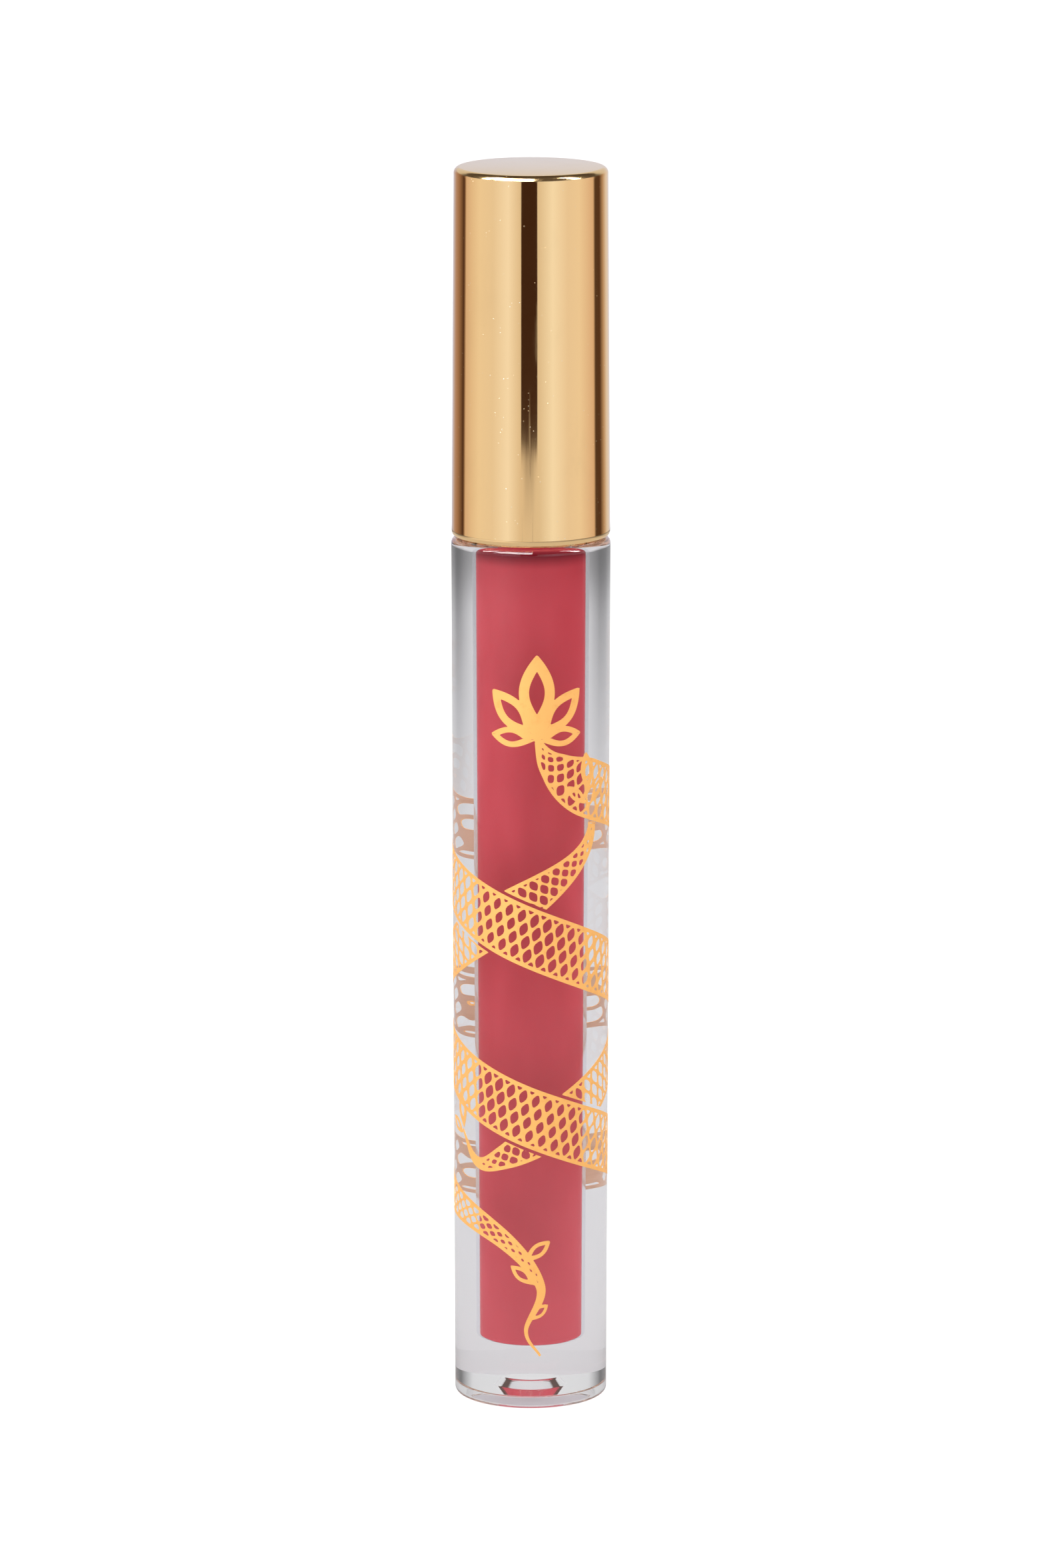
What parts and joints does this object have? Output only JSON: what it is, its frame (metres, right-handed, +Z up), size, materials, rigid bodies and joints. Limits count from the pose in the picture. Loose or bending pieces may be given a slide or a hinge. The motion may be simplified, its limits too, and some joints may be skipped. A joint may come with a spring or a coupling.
{
  "type": "lip gloss tube",
  "caption": "Slim clear thick-walled lip gloss tube with a gold screw cap that carries a flocked doe-foot wand through a wiper.",
  "frame": {"origin": "middle of the bottle's underside, on the surface it stands on", "axes": "+Z up along the tube, from its base to the cap's top"},
  "size_m": [0.0156, 0.0155, 0.122],
  "materials": {
    "clear_plastic": "clear, polished",
    "gloss": "opaque creamy gloss",
    "gold_foil": "hot-stamped satin gold foil",
    "gold_metallised": "vacuum metallised mirror gold",
    "liner_plastic": "moulded natural white",
    "wiper_plastic": "soft translucent white",
    "gasket_foam": "closed-cell foam",
    "stem_plastic": "moulded natural white",
    "tip_elastomer": "soft elastomer",
    "flock": "short flocked fibre"
  },
  "bodies": {
    "tube": {"bottle": "clear_plastic", "wiper": "wiper_plastic", "gloss_fill": "gloss", "foil_print": "gold_foil"},
    "seal": {"cap_gasket": "gasket_foam"},
    "film": {"gloss_coat": "gloss"},
    "cap": {"cap_shell": "gold_metallised", "inner_cap": "liner_plastic", "wand_stem": "stem_plastic", "applicator_core": "tip_elastomer", "applicator_flock": "flock"}
  },
  "joints": [
    {"name": "cap_pull", "type": "slide", "parent": "tube", "child": "seal", "axis": [0, 0, 1], "range_m": [0, 0.1]},
    {"name": "thread_rise", "type": "slide", "parent": "seal", "child": "film", "axis": [0, 0, 1], "range_m": [0, 0.00306]},
    {"name": "cap_turn", "type": "hinge", "parent": "film", "child": "cap", "pos_m": [0, 0, 0.09], "axis": [0, 0, 1], "range_deg": [0, 550]}
  ],
  "couplings": [
    {"joint": "thread_rise", "follows": "cap_turn", "m_per_rad": 0.00031831}
  ]
}
